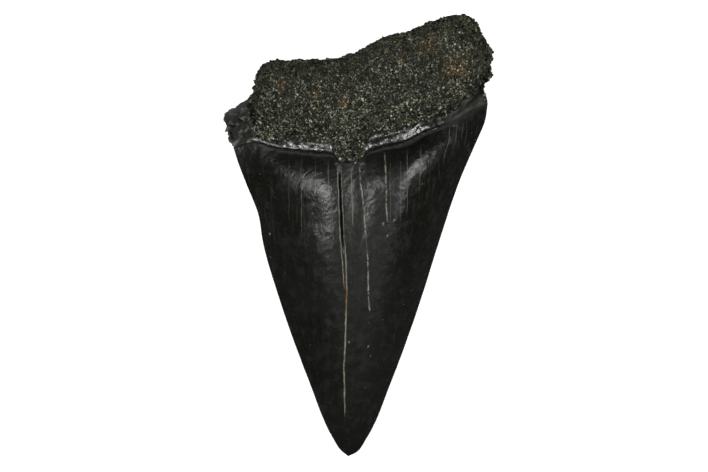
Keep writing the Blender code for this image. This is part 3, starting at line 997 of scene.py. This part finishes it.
class Nodes:
    """A material's node tree, with short calls for the nodes that the looks are made of."""

    def __init__(self, name):
        self.material = bpy.data.materials.new(name)
        self.material.use_nodes = True
        self.tree = self.material.node_tree
        self.shader = self.tree.nodes["Principled BSDF"]

    def put(self, socket, value):
        if isinstance(value, bpy.types.NodeSocket):
            self.tree.links.new(value, socket)
        else:
            socket.default_value = value

    def add(self, kind, inputs, **settings):
        made = self.tree.nodes.new(kind)
        for key, value in settings.items():
            setattr(made, key, value)
        for key, value in inputs.items():
            self.put(made.inputs[key], value)
        return made

    def field(self, name):
        return self.add("ShaderNodeAttribute", {}, attribute_name=name)

    def number(self, name):
        return self.field(name).outputs["Fac"]

    def do(self, operation, a, b=0.0):
        return self.add("ShaderNodeMath", {0: a, 1: b}, operation=operation).outputs[0]

    def spread(self, value, low, high, to_low=0.0, to_high=1.0):
        """The value moved from one range to another, and held inside it."""
        inputs = {"Value": value, "From Min": low, "From Max": high}
        inputs.update({"To Min": to_low, "To Max": to_high})
        return self.add("ShaderNodeMapRange", inputs, clamp=True).outputs[0]

    def noise(self, per_mm, detail, stretch=(1.0, 1.0, 1.0), turn=0.0):
        """Noise with this many waves to a millimetre, turned and drawn out by stretch."""
        place = self.add("ShaderNodeTexCoord", {}).outputs["Object"]
        if stretch != (1.0, 1.0, 1.0):
            inputs = {"Vector": place, "Rotation": (0.0, 0.0, turn), "Scale": stretch}
            place = self.add("ShaderNodeMapping", inputs, vector_type="TEXTURE").outputs[0]
        inputs = {"Vector": place, "Scale": per_mm / MM, "Detail": detail}
        return self.add("ShaderNodeTexNoise", inputs).outputs["Fac"]

    def pattern(self, per_mm, detail, start, full, before=0.0, after=1.0, **drawn):
        """Noise stretched over a band of its values, which gives patches with clear edges."""
        return self.spread(self.noise(per_mm, detail, **drawn), start, full, before, after)

    def mix(self, share, a, b, kind="MIX"):
        made = self.add("ShaderNodeMix", {"Factor": share}, data_type="RGBA", blend_type=kind)
        self.put(made.inputs[6], a)
        self.put(made.inputs[7], b)
        return made.outputs[2]

    def blend(self, share, a, b):
        made = self.add("ShaderNodeMix", {"Factor": share, 2: a, 3: b}, data_type="FLOAT")
        return made.outputs[0]

    def bump(self, height, depth_mm, strength=1.0, under=None):
        inputs = {"Height": height, "Distance": depth_mm * MM, "Strength": strength}
        if under is not None:
            inputs["Normal"] = under
        return self.add("ShaderNodeBump", inputs).outputs[0]

    def finish(self, colour, roughness, normal):
        self.put(self.shader.inputs["Base Color"], colour)
        self.put(self.shader.inputs["Roughness"], roughness)
        self.put(self.shader.inputs["Normal"], normal)
        return self.material


def silt_mask(nodes):
    """Pale silt in the hairline cracks, broken into beads along each of them."""
    beads = nodes.pattern(*BEADS, stretch=BEAD_STRETCH)
    total = 0.0
    for group, lines in enumerate(silt_groups()):
        offsets = nodes.field(f"silt_{group}").outputs["Vector"]
        split = nodes.add("ShaderNodeSeparateXYZ", {0: offsets})
        for axis, (_, _, width, strength, beaded) in enumerate(lines):
            near = nodes.do("ABSOLUTE", split.outputs[axis])
            line = nodes.spread(near, SILT_EDGE * width, SILT_CORE * width, 0.0, strength)
            kept = nodes.blend(beaded, 1.0, beads)
            total = nodes.do("MAXIMUM", total, nodes.do("MULTIPLY", line, kept))
    return total


def enamel_colour(nodes, silt, scuffs, near_root):
    """Near black, scuffed and streaked, with specks and silt in its cracks, and painted shade in the
    open crack, below the lip and at the lip's foot.
    """
    specks = nodes.spread(nodes.number("pale_specks"), *PALE_SPECK_BAND)
    specks = nodes.do("MAXIMUM", nodes.pattern(*SPECKS), specks)
    streaks = nodes.pattern(*STREAKS, stretch=STREAK_STRETCH)
    silt_colour = nodes.mix(nodes.noise(*SILT_TONES), SILT_DARK, SILT_COLOUR)
    silt_colour = nodes.mix(nodes.number("rust"), silt_colour, RUST_COLOUR)
    gap = nodes.spread(nodes.do("ABSOLUTE", nodes.number("open_crack")), *GAP_BAND)
    bridges = nodes.pattern(*BRIDGES, stretch=BRIDGE_STRETCH)
    colour = nodes.mix(nodes.pattern(*CLOUDS), ENAMEL_DARK, ENAMEL_PALE)
    colour = nodes.mix(nodes.do("MULTIPLY", scuffs, SCUFF_SHARE), colour, ENAMEL_SCUFF)
    colour = nodes.mix(nodes.do("MULTIPLY", specks, SPECK_SHARE), colour, SILT_COLOUR)
    colour = nodes.mix(nodes.do("MULTIPLY", streaks, near_root), colour, ENAMEL_SCUFF)
    colour = nodes.mix(silt, colour, silt_colour)
    # Painted shade in the open crack, broken by bridges of silt
    colour = nodes.mix(gap, colour, nodes.mix(bridges, SHADE_BLACK, SILT_DARK))
    # Painted shade: the enamel is darkened below the lip and where it meets the lip
    for mark in ("lip_shade", "seam_shade"):
        colour = nodes.mix(nodes.do("MULTIPLY", nodes.number(mark), SHADE_SHARE), colour, SHADE_BLACK)
    return colour


def neck_colour(nodes):
    """Dark, with pale fibres that run along the neck."""
    strands = nodes.pattern(*STRANDS, stretch=STRAND_STRETCH, turn=NECK_TURN)
    fibres = nodes.do("MULTIPLY", strands, nodes.number("fibres"))
    return nodes.mix(fibres, NECK_DARK, NECK_PALE)


def ground_colour(nodes, scuffs):
    """Dark ground between the grains, rusty in places, and paler on the left lobe, with painted shade in
    its pits, the crevice and the groove.
    """
    ground = nodes.mix(nodes.pattern(*GROUND_SPECKS), GROUND_DARK, GROUND_PALE)
    ground = nodes.mix(nodes.do("MULTIPLY", nodes.number("rust"), RUST_ON_GROUND), ground, RUST_COLOUR)
    ground = nodes.mix(nodes.number("lobe"), ground, nodes.mix(scuffs, LOBE_DARK, LOBE_PALE))
    # Painted shade in the pits, the crevice and the groove
    return nodes.mix(nodes.number("pits"), ground, SHADE_BLACK)


def skin_roughness(nodes, silt, scuffs):
    """Glossy enamel, duller on the neck, and matt in the cracks and the sand."""
    matt = nodes.do("MAXIMUM", silt, nodes.number("seam_shade"))
    roughness = nodes.blend(scuffs, *ENAMEL_ROUGHNESS)
    roughness = nodes.blend(nodes.number("lip_shade"), roughness, SHADE_ROUGHNESS)
    roughness = nodes.blend(nodes.number("neck"), roughness, NECK_ROUGHNESS)
    roughness = nodes.blend(matt, roughness, SILT_ROUGHNESS)
    return nodes.blend(nodes.number("sandy"), roughness, GROUND_ROUGHNESS)


def skin_bumps(nodes, near_root):
    """Wrinkles that fade towards the tip, fine lines along the blade, and grit on the root."""
    wrinkles = nodes.noise(*PEEL, PEEL_STRETCH, NECK_TURN)
    peel = nodes.bump(wrinkles, PEEL_DEPTH, near_root)
    striae = nodes.bump(nodes.noise(*STRIAE, STRIAE_STRETCH), STRIAE_DEPTH, 1.0, peel)
    fine = nodes.blend(nodes.number("sandy"), nodes.do("MULTIPLY", near_root, GRIT_ON_ENAMEL), 1.0)
    grit = nodes.do("MULTIPLY", nodes.noise(*GRIT), fine)
    return nodes.bump(grit, GRIT_DEPTH, 1.0, striae)


def skin_material():
    """Black polished enamel, striated neck, and the dark ground under the sand."""
    nodes = Nodes("tooth_skin")
    silt = silt_mask(nodes)
    scuffs = nodes.pattern(*SCUFFS)
    near_root = nodes.spread(nodes.number("up_root"), *NEAR_ROOT)
    enamel = enamel_colour(nodes, silt, scuffs, near_root)
    colour = nodes.mix(nodes.number("neck"), enamel, neck_colour(nodes))
    colour = nodes.mix(nodes.number("sandy"), colour, ground_colour(nodes, scuffs))
    return nodes.finish(colour, skin_roughness(nodes, silt, scuffs), skin_bumps(nodes, near_root))


def lip_material():
    """The polished rim where the root meets the enamel: dark, glassy and crinkled, with a painted
    highlight line on its left part and painted shade at its foot.
    """
    nodes = Nodes("polished_lip")
    nodes.shader.inputs["IOR"].default_value = LIP_IOR
    worn = nodes.pattern(*LIP_WEAR)
    # Painted highlight line, broken into bits, along the left part of the lip
    painted_highlight = nodes.do("MULTIPLY", nodes.number("lip_highlight"), nodes.pattern(*LIP_HIGHLIGHT_BREAKS))
    # Painted shade on the narrow band at the lip's foot
    seam_shade = nodes.do("MULTIPLY", nodes.number("seam_shade"), SHADE_SHARE)
    colour = nodes.mix(worn, LIP_DARK, LIP_PALE)
    colour = nodes.mix(seam_shade, colour, SHADE_BLACK)
    colour = nodes.mix(painted_highlight, colour, LIP_HIGHLIGHT_COLOUR)
    normal = nodes.bump(nodes.noise(*LIP_BUMPS), LIP_BUMP_DEPTH)
    return nodes.finish(colour, nodes.blend(worn, *LIP_ROUGHNESS), normal)


def sand_tones(nodes):
    """The colour of each grain by its tone, from nearly black to nearly white."""
    ramp = nodes.add("ShaderNodeValToRGB", {"Fac": nodes.number("tone")})
    steps = ramp.color_ramp.elements
    steps[0].position, steps[0].color = SAND_STEPS[0]
    steps[1].position, steps[1].color = SAND_STEPS[-1]
    for place, colour in SAND_STEPS[1:-1]:
        steps.new(place).color = colour
    return ramp.outputs[0]


def sand_material():
    """Grains of sand: mostly dark, some olive, rusty or nearly white, many with a glint; the nearly
    white ones are partly pale grains and partly painted glints.
    """
    nodes = Nodes("root_sand")
    nodes.shader.inputs["IOR"].default_value = SAND_IOR
    tint = nodes.number("tint")
    rust = nodes.do("MULTIPLY", nodes.number("rust"), nodes.spread(tint, *RUSTY_BAND))
    colour = nodes.mix(nodes.spread(tint, *OLIVE_BAND), sand_tones(nodes), SAND_OLIVE)
    colour = nodes.mix(rust, colour, RUST_COLOUR)
    light = nodes.do("MULTIPLY", nodes.pattern(*SAND_PATCHES), nodes.pattern(*SAND_CLUMPS))
    light = nodes.do("MULTIPLY", nodes.pattern(*SAND_MOTTLE), light)
    colour = nodes.mix(1.0, colour, light, "MULTIPLY")
    roughness = nodes.spread(tint, 0.0, 1.0, *SAND_ROUGHNESS)
    return nodes.finish(colour, roughness, nodes.bump(nodes.noise(*SAND_BUMPS), SAND_BUMP_DEPTH))


def make_floor():
    mesh = bpy.data.meshes.new("floor")
    reach = FLOOR_REACH * MM
    corners = [(-reach, -reach, 0), (reach, -reach, 0), (reach, reach, 0), (-reach, reach, 0)]
    mesh.from_pydata(corners, [], [(0, 1, 2, 3)])
    floor = add_object("floor", mesh)
    floor.location.z = -FLOOR_GAP * MM
    floor.visible_glossy = False
    nodes = Nodes("floor_paper")
    fibre = nodes.mix(nodes.noise(*FLOOR_FIBRES), FLOOR_COLOUR, FLOOR_SHADE)
    normal = nodes.bump(nodes.noise(*FLOOR_BUMPS), FLOOR_BUMP_DEPTH)
    nodes.shader.inputs["Emission Color"].default_value = FLOOR_COLOUR
    nodes.shader.inputs["Emission Strength"].default_value = FLOOR_GLOW
    mesh.materials.append(nodes.finish(fibre, FLOOR_ROUGHNESS, normal))


def soft_light(name, across, along_y, distance, width, height, radiance):
    """A soft box in the direction given by its lean from the vertical, in degrees."""
    light = bpy.data.lights.new(name, "AREA")
    light.shape = "RECTANGLE"
    light.size = width
    light.size_y = height
    light.energy = radiance * math.pi * width * height
    lamp = bpy.data.objects.new(name, light)
    toward = Vector((math.tan(math.radians(across)), math.tan(math.radians(along_y)), 1.0))
    lamp.location = toward.normalized() * distance
    lamp.rotation_euler = (-toward).to_track_quat("-Z", "Y").to_euler()
    bpy.context.scene.collection.objects.link(lamp)


def make_camera():
    """Looks straight down, so that PHOTO_SCALE pixels are a millimetre at SCALE_HEIGHT."""
    camera = bpy.data.cameras.new("camera")
    camera.lens = LENS
    camera.sensor_width = SENSOR
    camera.dof.use_dof = False
    view = bpy.data.objects.new("camera", camera)
    width = PHOTO_WIDTH / PHOTO_SCALE
    distance = width * LENS / SENSOR
    across = (0.5 * PHOTO_WIDTH - TOOTH_CENTRE[0]) / PHOTO_SCALE
    up = (TOOTH_CENTRE[1] - 0.5 * PHOTO_HEIGHT) / PHOTO_SCALE
    view.location = Vector((across, up, distance + SCALE_HEIGHT)) * MM
    camera.clip_start, camera.clip_end = CLIP_METRES
    bpy.context.scene.collection.objects.link(view)
    bpy.context.scene.camera = view


def make_world():
    world = bpy.data.worlds.new("studio")
    world.use_nodes = True
    world.node_tree.nodes["Background"].inputs["Color"].default_value = WORLD_COLOUR
    bpy.context.scene.world = world
    bpy.context.scene.view_settings.view_transform = "Standard"


def main():
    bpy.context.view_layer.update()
    make_camera()
    make_world()
    make_floor()
    for box in SOFT_BOXES:
        soft_light(*box)
    skin, points, faces, bed = make_skin()
    facing_up = normals_of(points, faces)[:, 2]
    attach(skin, "root")
    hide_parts("tooth")
    sand = sand_material()
    for name, seed, count, size, side in GRAIN_SETS:
        facing = np.clip(0.5 + side * facing_up, 0.0, 1.0)
        grains = make_grains(name, seed, count, size, points, faces, bed * facing)
        grains.data.materials.append(sand)
        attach(grains, "root")
        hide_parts("tooth")


main()
